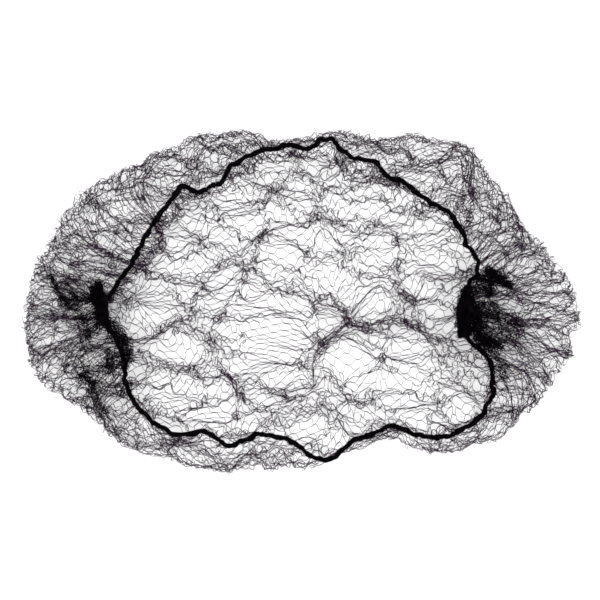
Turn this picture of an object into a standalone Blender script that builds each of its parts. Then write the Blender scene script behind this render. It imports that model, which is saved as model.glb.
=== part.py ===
"""A knitted nylon hairnet, lying open side up as it is laid down after use: the net bag, its elastic
loop and the two gathers where the net's ends are drawn onto the elastic.

Metres, +Z up. The origin is on the table under the middle of the hairnet; +X runs along its length.
The net is one wall cut through in coarse meshes; its fine strands are far smaller than a solid can hold.
"""

import math
from collections import namedtuple

import bmesh
import bpy
from mathutils import Vector

# Sizes of the whole hairnet: the elastic loop lies inside the net's outline by an overhang all round
NET_LENGTH = 0.222
NET_WIDTH = 0.136
END_OVERHANG = 0.0334
SIDE_OVERHANG = 0.0032
LOOP_LENGTH = NET_LENGTH - 2 * END_OVERHANG
LOOP_WIDTH = NET_WIDTH - 2 * SIDE_OVERHANG
LOOP_HEIGHT = 0.0142

# The knitted wall and its turned outer edge
NET_WALL = 0.001
FOLD_HEIGHT = 0.0104
FOLD_DEPTH = 0.0075
TOP_SAG = 0.0012
PLEAT_COUNT = 17
PLEAT_HEIGHT = 0.0011
REST_RADIUS = 0.024

# The coarse meshes cut through the wall
CELLS_ALONG = 13
CELLS_ACROSS = 9
STRAND_WIDTH = 0.0024
STRAND_CUT_COUNT = 2

# The elastic and the gathers on it
ELASTIC_THICKNESS = 0.0023
ELASTIC_POINTS = 120
SEAT_GAP = 0.0003
RIM_SLACK = 0.0003
LEFT_GATHER_LENGTH = 0.0190
LEFT_GATHER_WIDTH = 0.0056
LEFT_GATHER_HEIGHT = 0.0044
RIGHT_GATHER_LENGTH = 0.0200
RIGHT_GATHER_WIDTH = 0.0104
RIGHT_GATHER_HEIGHT = 0.0052
GATHER_RIBS = 8
RIB_DEPTH = 0.16
DOME_POINTS = 8

# The outer fold, once round: reach is a share of the ellipse NET_LENGTH by NET_WIDTH, rise of FOLD_HEIGHT
FoldRow = namedtuple("FoldRow", "angle reach rise")
OUTER_FOLD = [
    FoldRow(0, 0.99, 1.00),
    FoldRow(10, 0.93, 0.88),
    FoldRow(20, 0.91, 1.04),
    FoldRow(31, 0.96, 0.92),
    FoldRow(39, 1.07, 1.06),
    FoldRow(47, 1.03, 0.90),
    FoldRow(56, 1.04, 1.05),
    FoldRow(64, 0.97, 0.94),
    FoldRow(72, 0.98, 1.02),
    FoldRow(80, 1.00, 0.90),
    FoldRow(88, 0.97, 1.00),
    FoldRow(96, 0.93, 0.88),
    FoldRow(104, 0.95, 1.02),
    FoldRow(112, 0.99, 0.94),
    FoldRow(121, 1.02, 1.06),
    FoldRow(130, 1.01, 0.92),
    FoldRow(144, 0.97, 1.00),
    FoldRow(152, 1.00, 1.08),
    FoldRow(160, 0.96, 0.90),
    FoldRow(170, 0.97, 1.00),
    FoldRow(180, 0.97, 0.92),
    FoldRow(190, 1.03, 1.08),
    FoldRow(200, 1.03, 0.94),
    FoldRow(208, 1.01, 1.04),
    FoldRow(216, 1.04, 0.90),
    FoldRow(228, 1.03, 1.05),
    FoldRow(240, 1.03, 0.92),
    FoldRow(248, 1.02, 1.02),
    FoldRow(256, 0.98, 0.90),
    FoldRow(264, 0.92, 1.00),
    FoldRow(272, 0.94, 0.92),
    FoldRow(280, 0.98, 1.00),
    FoldRow(288, 0.91, 0.90),
    FoldRow(296, 0.89, 1.00),
    FoldRow(304, 0.89, 0.94),
    FoldRow(312, 0.99, 1.06),
    FoldRow(320, 1.04, 0.92),
    FoldRow(328, 1.06, 1.05),
    FoldRow(338, 1.03, 0.92),
    FoldRow(350, 1.00, 1.04),
]

# The elastic, once round: reach is a share of the ellipse LOOP_LENGTH by LOOP_WIDTH, lift of LOOP_HEIGHT
LoopRow = namedtuple("LoopRow", "angle reach lift")
ELASTIC_ROUTE = [
    LoopRow(0, 0.835, 0.98),
    LoopRow(5, 0.880, 1.00),
    LoopRow(10, 0.945, 1.02),
    LoopRow(16, 0.943, 1.03),
    LoopRow(21, 0.922, 0.99),
    LoopRow(27, 0.938, 0.96),
    LoopRow(35, 0.914, 0.98),
    LoopRow(44, 0.902, 1.04),
    LoopRow(52, 0.895, 1.02),
    LoopRow(56, 0.880, 0.99),
    LoopRow(61, 0.937, 0.97),
    LoopRow(68, 0.924, 1.00),
    LoopRow(73, 0.943, 1.03),
    LoopRow(77, 1.003, 1.06),
    LoopRow(83, 0.994, 1.04),
    LoopRow(88, 0.928, 0.99),
    LoopRow(98, 0.929, 0.96),
    LoopRow(107, 0.925, 1.00),
    LoopRow(115, 0.897, 1.04),
    LoopRow(122, 0.848, 1.03),
    LoopRow(129, 0.836, 0.98),
    LoopRow(136, 0.923, 0.96),
    LoopRow(144, 0.905, 1.00),
    LoopRow(153, 0.910, 1.04),
    LoopRow(162, 0.906, 1.02),
    LoopRow(170, 0.926, 0.98),
    LoopRow(176, 0.958, 0.98),
    LoopRow(182, 0.995, 1.00),
    LoopRow(189, 0.980, 1.00),
    LoopRow(195, 0.972, 1.02),
    LoopRow(201, 1.000, 1.03),
    LoopRow(207, 1.048, 1.00),
    LoopRow(215, 1.065, 0.96),
    LoopRow(224, 1.068, 0.98),
    LoopRow(231, 0.995, 1.02),
    LoopRow(236, 0.950, 1.04),
    LoopRow(243, 0.966, 1.00),
    LoopRow(249, 0.905, 0.97),
    LoopRow(256, 0.863, 0.96),
    LoopRow(263, 0.868, 1.00),
    LoopRow(270, 0.912, 1.04),
    LoopRow(276, 0.984, 1.05),
    LoopRow(280, 0.994, 1.03),
    LoopRow(285, 0.948, 1.00),
    LoopRow(291, 0.923, 0.96),
    LoopRow(298, 0.912, 0.98),
    LoopRow(304, 0.915, 1.02),
    LoopRow(310, 1.015, 1.04),
    LoopRow(316, 1.105, 1.00),
    LoopRow(323, 1.168, 0.97),
    LoopRow(331, 1.162, 0.98),
    LoopRow(338, 1.090, 1.02),
    LoopRow(344, 1.000, 1.03),
    LoopRow(349, 0.880, 1.00),
    LoopRow(354, 0.835, 0.98),
]

# Ridges of the lower layer: places and lengths are shares of NET_LENGTH and NET_WIDTH, rise of FLOOR_RIDGE
FLOOR_RIDGE = 0.0034
RIDGE_HALF_WIDTH = 0.0052
RidgeRow = namedtuple("RidgeRow", "along across heading length rise")
FLOOR_RIDGES = [
    RidgeRow(-0.20, 0.02, 55, 0.16, 1.00),
    RidgeRow(-0.13, -0.22, 300, 0.15, 0.90),
    RidgeRow(0.16, -0.07, 350, 0.22, 1.00),
    RidgeRow(-0.08, 0.26, 80, 0.12, 0.80),
    RidgeRow(0.17, 0.20, 20, 0.14, 0.90),
    RidgeRow(0.05, -0.29, 30, 0.16, 0.85),
    RidgeRow(0.21, -0.26, 110, 0.10, 0.75),
    RidgeRow(0.06, 0.24, 130, 0.12, 0.75),
]

# A gather's shape from end to end: width and height as shares of its own sizes
GatherRow = namedtuple("GatherRow", "along width height")
GATHER_SHAPE = [
    GatherRow(0.00, 0.30, 0.35),
    GatherRow(0.12, 0.66, 0.72),
    GatherRow(0.34, 0.92, 0.96),
    GatherRow(0.55, 1.00, 1.00),
    GatherRow(0.78, 0.86, 0.88),
    GatherRow(0.92, 0.58, 0.66),
    GatherRow(1.00, 0.28, 0.35),
]
LEFT_GATHER_ANGLE = 183
RIGHT_GATHER_ANGLE = 357
GATHER_OUTWARD = 0.22

# Colours and finish
NET_BLACK = (0.012, 0.011, 0.013)
ELASTIC_BLACK = (0.008, 0.008, 0.009)
GATHER_BLACK = (0.006, 0.006, 0.007)


def clear_scene():
    for old in list(bpy.data.objects):
        bpy.data.objects.remove(old, do_unlink=True)


def material(name, colour, roughness):
    made = bpy.data.materials.new(name)
    made.use_nodes = True
    shader = made.node_tree.nodes["Principled BSDF"]
    shader.inputs["Base Color"].default_value = (*colour, 1.0)
    shader.inputs["Roughness"].default_value = roughness
    shader.inputs["Metallic"].default_value = 0.0
    return made


def add_object(name, data, finish):
    made = bpy.data.objects.new(name, data)
    bpy.context.scene.collection.objects.link(made)
    made.data.materials.append(finish)
    return made


def around(rows, angle, column):
    """A column of a table at any angle, on a smooth closed curve through its rows."""
    angle %= 360.0
    last = max(i for i, row in enumerate(rows) if row.angle <= angle)
    picked = [rows[(last + step) % len(rows)] for step in (-1, 0, 1, 2)]
    start, end = picked[1].angle, picked[2].angle
    span = (end - start) % 360.0
    t = (angle - start) / span
    before, here, there, beyond = (getattr(row, column) for row in picked)
    lead_in = (there - before) / 2
    lead_out = (beyond - here) / 2
    rise = there - here
    bend = lead_in + lead_out - 2 * rise
    return here + t * (lead_in + t * (rise - lead_in - bend + t * bend))


def between(rows, place, column):
    """A column of an open table at a place from 0 to 1, on straight lines between its rows."""
    for low, high in zip(rows, rows[1:]):
        if place <= high.along:
            t = (place - low.along) / (high.along - low.along)
            return (1 - t) * getattr(low, column) + t * getattr(high, column)
    return getattr(rows[-1], column)


def ellipse_radius(length, width, angle):
    turn = math.radians(angle)
    return length * width / 2 / math.hypot(width * math.cos(turn), length * math.sin(turn))


def towards(angle):
    turn = math.radians(angle)
    return Vector((math.cos(turn), math.sin(turn), 0.0))


def elastic_point(angle):
    radius = ellipse_radius(LOOP_LENGTH, LOOP_WIDTH, angle) * around(ELASTIC_ROUTE, angle, "reach")
    return towards(angle) * radius + Vector((0, 0, LOOP_HEIGHT * around(ELASTIC_ROUTE, angle, "lift")))


def elastic_outward(angle, step=1.5):
    """The level direction square to the elastic, away from the opening."""
    along = elastic_point(angle + step) - elastic_point(angle - step)
    return Vector((along.y, -along.x, 0.0)).normalized()


def rim_point(angle):
    """Where the middle of the net's wall meets the elastic."""
    reach = ELASTIC_THICKNESS / 2 + SEAT_GAP + RIM_SLACK + NET_WALL
    return elastic_point(angle) + elastic_outward(angle) * reach


def quarter_turns(fold_radius, rim_radius, height):
    """The turned outer edge as (radius, height) pairs, from the table round to the upper layer."""
    upper_depth = min(FOLD_DEPTH, max(fold_radius - rim_radius, 0.0))
    pairs = []
    for step in range(5):
        turn = math.pi / 2 * step / 4
        pairs.append((fold_radius - FOLD_DEPTH * (1 - math.sin(turn)), height / 2 * (1 - math.cos(turn))))
    for step in range(1, 4):
        turn = math.pi / 2 * step / 3
        pairs.append((fold_radius - upper_depth * (1 - math.cos(turn)), height / 2 * (1 + math.sin(turn))))
    return pairs


def meridian(angle):
    """The net's wall along one direction: middle of the table side, outer fold, upper layer, rim."""
    rim = rim_point(angle)
    rim_radius = Vector((rim.x, rim.y)).length
    fold_radius = ellipse_radius(NET_LENGTH, NET_WIDTH, angle) * around(OUTER_FOLD, angle, "reach")
    fold_radius = max(fold_radius, rim_radius + NET_WALL)
    height = FOLD_HEIGHT * around(OUTER_FOLD, angle, "rise")
    points = [Vector((0, 0, 0))]
    for radius, lift in quarter_turns(fold_radius, rim_radius, height):
        points.append(towards(angle) * radius + Vector((0, 0, lift)))
    sagged = (points[-1] + rim) / 2
    sagged.z -= min(TOP_SAG, (points[-1] - rim).length / 6)
    return [*points, sagged, rim]


def along_line(points, share):
    """The point at a share of a line's length, and how far past its first stretch that is, from 0 to 1."""
    lengths = [(b - a).length for a, b in zip(points, points[1:])]
    left = share * sum(lengths)
    beyond = max(left - lengths[0], 0.0) / sum(lengths[1:])
    for start, end, length in zip(points, points[1:], lengths):
        if left <= length:
            return start.lerp(end, left / length), beyond
        left -= length
    return points[-1].copy(), 1.0


def floor_lift(place):
    """How high the lower layer's ridges lift it at a place; nothing lifts its middle, which it rests on."""
    lift = 0.0
    for ridge in FLOOR_RIDGES:
        offset = place - Vector((ridge.along * NET_LENGTH, ridge.across * NET_WIDTH, 0))
        heading = towards(ridge.heading)
        along = offset.dot(heading) / (ridge.length * NET_LENGTH / 2)
        across = offset.cross(heading).length / RIDGE_HALF_WIDTH
        if abs(along) < 1:
            lift = max(lift, FLOOR_RIDGE * ridge.rise * (1 - along * along) * math.exp(-across * across))
    clear = (Vector((place.x, place.y)).length - REST_RADIUS) / REST_RADIUS
    return lift * min(max(clear, 0.0), 1.0)


def disc_place(along, across):
    """The share of the way from middle to rim, and the direction in radians, of a point of the flat piece."""
    x = along * math.sqrt(1 - across * across / 2)
    y = across * math.sqrt(1 - along * along / 2)
    return min(math.hypot(x, y), 1.0), math.atan2(NET_WIDTH * y, NET_LENGTH * x)


def net_place(along, across):
    """Where a point of the flat knitted piece, from -1 to 1 both ways, lies on the finished net."""
    share, turn = disc_place(along, across)
    place, beyond = along_line(meridian(math.degrees(turn)), share)
    if beyond == 0:
        place.z += floor_lift(place)
    place.z += PLEAT_HEIGHT * math.sin(math.pi * beyond) ** 2 * math.cos(PLEAT_COUNT * turn)
    return place


def make_net(finish):
    shape = bmesh.new()
    bmesh.ops.create_grid(shape, x_segments=CELLS_ALONG, y_segments=CELLS_ACROSS, size=1)
    half_length = sum((b - a).length for a, b in zip(meridian(0), meridian(0)[1:]))
    half_width = sum((b - a).length for a, b in zip(meridian(90), meridian(90)[1:]))
    bmesh.ops.scale(shape, vec=(half_length, half_width, 1), verts=shape.verts)
    borders = bmesh.ops.inset_individual(shape, faces=shape.faces[:], thickness=STRAND_WIDTH / 2)["faces"]
    meshes = list(set(shape.faces) - set(borders))
    bmesh.ops.delete(shape, geom=meshes, context="FACES_ONLY")
    longest_corner = STRAND_WIDTH
    strands = [edge for edge in shape.edges if edge.calc_length() > longest_corner]
    bmesh.ops.subdivide_edges(shape, edges=strands, cuts=STRAND_CUT_COUNT, use_grid_fill=True)
    for vertex in shape.verts:
        vertex.co = net_place(vertex.co.x / half_length, vertex.co.y / half_width)
    bmesh.ops.reverse_faces(shape, faces=shape.faces)
    mesh = bpy.data.meshes.new("net")
    shape.to_mesh(mesh)
    shape.free()
    net = add_object("net", mesh, finish)
    wall = net.modifiers.new("wall", "SOLIDIFY")
    wall.thickness = NET_WALL
    wall.offset = -1
    return net


def make_elastic(finish):
    curve = bpy.data.curves.new("elastic_loop", "CURVE")
    curve.dimensions = "3D"
    curve.bevel_depth = ELASTIC_THICKNESS / 2
    curve.bevel_resolution = 2
    route = curve.splines.new("POLY")
    route.points.add(ELASTIC_POINTS - 1)
    for number, point in enumerate(route.points):
        point.co = (*elastic_point(360 * number / ELASTIC_POINTS), 1)
    route.use_cyclic_u = True
    return add_object("elastic_loop", curve, finish)


def gather_ring(middle_angle, place, length, width, height, rib):
    """One domed section of a gather, flat underneath, seated over the elastic."""
    offset = (place - 0.5) * length
    angle = middle_angle + math.degrees(offset / elastic_point(middle_angle).xy.length)
    seat = elastic_point(angle) + Vector((0, 0, ELASTIC_THICKNESS / 2 + SEAT_GAP))
    outward = elastic_outward(angle)
    half_width = width / 2 * between(GATHER_SHAPE, place, "width") * rib
    tall = height * between(GATHER_SHAPE, place, "height") * rib
    seat += outward * GATHER_OUTWARD * width
    ring = []
    for step in range(DOME_POINTS):
        turn = math.pi * step / (DOME_POINTS - 1)
        ring.append(seat + outward * half_width * math.cos(turn) + Vector((0, 0, tall * math.sin(turn))))
    return ring


def make_gather(name, middle_angle, length, width, height, finish):
    """The net drawn up on the elastic: a ribbed bunch, a rib for each pleat."""
    shape = bmesh.new()
    sections = 2 * GATHER_RIBS + 1
    rings = []
    for number in range(sections):
        rib = 1.0 if number % 2 else 1.0 - RIB_DEPTH
        rings.append(gather_ring(middle_angle, number / (sections - 1), length, width, height, rib))
    end = shape.faces.new([shape.verts.new(point) for point in rings[0]])
    for ring in rings[1:]:
        grown = bmesh.ops.extrude_face_region(shape, geom=[end])["geom"]
        bmesh.ops.delete(shape, geom=[end], context="FACES_ONLY")
        end = next(item for item in grown if isinstance(item, bmesh.types.BMFace))
        for vertex, point in zip(end.verts, ring):
            vertex.co = point
    shape.faces.new([min(shape.verts, key=lambda v: (v.co - point).length) for point in rings[0]])
    bmesh.ops.recalc_face_normals(shape, faces=shape.faces)
    mesh = bpy.data.meshes.new(name)
    shape.to_mesh(mesh)
    shape.free()
    return add_object(name, mesh, finish)


def centre_on_table(objects):
    """Moves everything so that the origin is on the table, under the middle of the hairnet."""
    graph = bpy.context.evaluated_depsgraph_get()
    corners = []
    for made in objects:
        mesh = made.evaluated_get(graph).to_mesh()
        corners += [vertex.co.copy() for vertex in mesh.vertices]
        made.evaluated_get(graph).to_mesh_clear()
    low = Vector([min(corner[axis] for corner in corners) for axis in range(3)])
    high = Vector([max(corner[axis] for corner in corners) for axis in range(3)])
    for made in objects:
        made.location -= Vector(((low.x + high.x) / 2, (low.y + high.y) / 2, low.z))


def main():
    clear_scene()
    net_finish = material("black_nylon_net", NET_BLACK, 0.55)
    elastic_finish = material("black_covered_elastic", ELASTIC_BLACK, 0.7)
    gather_finish = material("black_gathered_nylon", GATHER_BLACK, 0.65)
    made = [
        make_net(net_finish),
        make_elastic(elastic_finish),
        make_gather("left_gather", LEFT_GATHER_ANGLE, LEFT_GATHER_LENGTH, LEFT_GATHER_WIDTH,
                    LEFT_GATHER_HEIGHT, gather_finish),
        make_gather("right_gather", RIGHT_GATHER_ANGLE, RIGHT_GATHER_LENGTH, RIGHT_GATHER_WIDTH,
                    RIGHT_GATHER_HEIGHT, gather_finish),
    ]
    bpy.context.view_layer.update()
    centre_on_table(made)


main()
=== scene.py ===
"""A knitted hairnet lying open side up on a plain surface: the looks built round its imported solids.

The net's threads are closed tubes. They are worked out flat, as knots in a grid, then led round the net's
edge and folds to the elastic, drawn into creases and let slip for some rounds towards their own length.
"""

import math
from collections import namedtuple

import bmesh
import bpy
import numpy as np
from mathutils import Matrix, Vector, noise


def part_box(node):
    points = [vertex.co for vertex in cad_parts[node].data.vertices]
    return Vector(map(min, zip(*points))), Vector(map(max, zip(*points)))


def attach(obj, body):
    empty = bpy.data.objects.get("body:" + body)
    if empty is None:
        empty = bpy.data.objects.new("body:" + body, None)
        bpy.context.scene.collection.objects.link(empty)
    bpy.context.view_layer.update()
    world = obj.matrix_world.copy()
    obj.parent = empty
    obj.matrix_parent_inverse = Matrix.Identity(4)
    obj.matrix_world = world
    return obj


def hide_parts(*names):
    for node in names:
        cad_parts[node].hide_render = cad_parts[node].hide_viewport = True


bl_info = {
    "name": "Knitted Hairnet",
    "version": (1, 0, 0),
    "blender": (4, 5, 0),
    "location": "3D View > Sidebar > Hairnet",
    "description": "Builds the threads, elastic and gathers of a knitted hairnet round its solid model",
    "category": "Object",
}

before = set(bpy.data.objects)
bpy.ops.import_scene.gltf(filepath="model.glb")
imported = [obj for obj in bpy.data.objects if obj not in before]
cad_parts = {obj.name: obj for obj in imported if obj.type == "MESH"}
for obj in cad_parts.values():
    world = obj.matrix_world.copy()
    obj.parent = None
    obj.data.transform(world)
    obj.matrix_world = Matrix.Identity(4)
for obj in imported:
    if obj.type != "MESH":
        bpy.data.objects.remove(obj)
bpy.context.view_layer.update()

# The picture's scale: the middle of the hairnet's outline lies at this column and row of 600
MM = 0.001
PIXEL = 0.0004
MIDDLE_COLUMN = 301.3
MIDDLE_ROW = 300.0
PICTURE_SIDE = 600

# The least that is divided by, a length beyond everything, and how high the lowest threads lie
TINY = 1e-9
FAR = 1e9
FLOOR_CLEARANCE = 0.15 * MM

# The elastic in the picture, clockwise from the middle of the far side
Stop = namedtuple("Stop", "column row")
ELASTIC_ROUTE = [Stop(*stop) for stop in [
    (300, 147), (306, 149), (310, 151), (313, 146), (319, 140), (326, 139), (334, 140), (338, 146),
    (342, 151), (350, 156), (359, 159), (367, 160), (375, 161), (380, 168), (384, 174), (388, 177),
    (396, 180), (403, 183), (414, 190), (424, 197), (432, 202), (440, 206), (447, 211), (453, 218),
    (458, 226), (463, 233), (465, 239), (466, 244), (471, 249), (476, 254), (479, 259), (479, 265),
    (477, 271), (474, 277), (468, 287), (463, 296), (461, 306), (461, 322), (463, 334), (472, 344),
    (479, 349), (484, 354), (489, 362), (491, 372), (492, 383), (491, 392), (488, 402), (484, 411),
    (477, 419), (468, 426), (461, 430), (453, 432), (442, 435), (430, 437), (418, 435), (407, 432),
    (396, 428), (386, 426), (379, 430), (373, 434), (360, 439), (348, 444), (341, 450), (334, 457),
    (328, 460), (323, 460), (316, 459), (311, 457), (305, 451), (300, 447), (293, 443), (285, 439),
    (276, 436), (268, 435), (259, 435), (249, 438), (240, 442), (233, 445), (226, 446), (219, 440),
    (213, 434), (201, 432), (189, 434), (178, 435), (170, 433), (163, 430), (153, 423), (144, 415),
    (138, 407), (132, 399), (128, 390), (125, 380), (124, 369), (123, 357), (120, 348), (117, 338),
    (110, 328), (104, 320), (102, 310), (105, 301), (113, 293), (118, 285), (128, 268), (139, 250),
    (150, 230), (158, 219), (167, 206), (175, 195), (179, 188), (183, 185), (190, 190), (198, 193),
    (205, 190), (214, 186), (222, 183), (225, 177), (227, 171), (236, 164), (247, 157), (259, 152),
    (272, 149), (284, 147), (293, 146)]]

# The net's outer edge, as measured in the picture and rounded: how far it reaches from the middle, in
# millimetres, in each direction
Reach = namedtuple("Reach", "angle reach")
OUTER_EDGE = [Reach(*row) for row in [
    (0, 110.5), (5, 106.5), (10, 101.5), (15, 99.0), (20, 93.5), (25, 93.5), (30, 91.5), (35, 89.5),
    (40, 93.8), (45, 88.0), (50, 83.0), (55, 80.6), (60, 75.5), (65, 71.0), (70, 69.5), (76, 70.5),
    (80, 68.7), (85, 66.5), (90, 65.5), (95, 64.0), (100, 64.0), (105, 69.0), (110, 72.0), (115, 72.8),
    (120, 76.0), (125, 79.2), (130, 79.5), (135, 83.0), (140, 84.5), (145, 90.0), (150, 94.0),
    (155, 99.0), (160, 101.2), (165, 101.8), (170, 106.0), (175, 108.8), (180, 110.3), (185, 111.2),
    (190, 112.7), (195, 111.0), (200, 106.0), (205, 99.2), (210, 96.2), (215, 93.2), (220, 92.0),
    (225, 88.0), (230, 81.5), (235, 80.6), (240, 77.3), (245, 76.0), (250, 72.0), (255, 69.0),
    (260, 69.0), (265, 65.5), (270, 66.8), (275, 67.0), (280, 67.2), (285, 65.4), (290, 64.5),
    (295, 64.6), (300, 65.0), (305, 70.5), (310, 79.8), (315, 86.3), (320, 91.3), (325, 97.0),
    (330, 100.0), (335, 102.2), (340, 105.0), (345, 108.0), (350, 110.3), (355, 111.3)]]

# How far the net droops past the elastic into the opening before it turns back, in millimetres
INNER_DROOP = [Reach(*row) for row in [
    (0, 0), (20, 0), (26, 0.8), (33, 1.5), (40, 3.0), (48, 3.0), (56, 3.0), (62, 9.0), (68, 13.0),
    (74, 12.0), (80, 8.0), (88, 6.5), (98, 8.0), (108, 8.0), (118, 4.0), (126, 3.0), (133, 6.5),
    (140, 7.0), (148, 5.0), (156, 6.0), (163, 6.5), (170, 4.5), (176, 3.0), (184, 2.0), (193, 4.0),
    (200, 6.0), (208, 4.0), (214, 1.5), (225, 0.5), (240, 0), (262, 1.0), (285, 0.5), (300, 2.0),
    (307, 4.0), (313, 1.0), (325, 0.5), (335, 3.0), (344, 4.0), (350, 1.5), (355, 0)]]

# How far the turned side is folded back on itself in each direction, as a share of a plain fold
Fold = namedtuple("Fold", "angle share")
BACK_FOLDS = [Fold(*row) for row in [
    (0, 0.10), (15, 0.10), (30, 0.15), (45, 0.30), (55, 0.7), (64, 0.7), (75, 0.4), (90, 0.6),
    (105, 1.2), (120, 0.3), (135, 0.25), (150, 0.1), (163, 0.2), (171, 0.45), (181, 0.10), (195, 0.15),
    (210, 0.4), (222, 0.3), (230, 0.25), (238, 0.4), (248, 0.2), (270, 0.1), (285, 0.2), (295, 0.4),
    (312, 0.45), (325, 0.20), (340, 0.15)]]

# Where the back-fold lies between elastic and outer edge: its middle, how far that sways, half its width,
# how far that varies, and the limits of its inner and outer line, all as shares
FOLD_MIDDLE = 0.56
FOLD_SWAY = 0.14
FOLD_HALF = 0.20
FOLD_VARIES = 0.5
INNER_LIMITS = (0.08, 0.85)
OUTER_LIMITS = (0.10, 0.96)

# Heights of the net over the floor: on the table in metres, then at the outer edge, just past it and at the
# three folds after that, as shares of the fold height
TABLE_LIFT = 0.3 * MM
FOLD_RISES = (0.5, 0.92, 0.88, 1.0, 0.9)

# The way over which the table side passes into the turned side, the share of the way next to the rim in
# which points grow less free, and how much of its ripples an open patch loses
SIDE_BLEND = 8 * MM
RIM_SHARE = 0.04
PATCH_CALM = 0.75

# Ripples in the plane: share of the side's strength, wavelength in millimetres and seed of the first axis
Ripple = namedtuple("Ripple", "share wavelength seed")
TABLE_RIPPLES = [Ripple(1.0, 24, 10), Ripple(0.4, 9, 20), Ripple(0.10, 4.5, 30)]
TOP_RIPPLES = [Ripple(1.0, 36, 11), Ripple(0.5, 11, 21), Ripple(0.55, 5.0, 31)]

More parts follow.
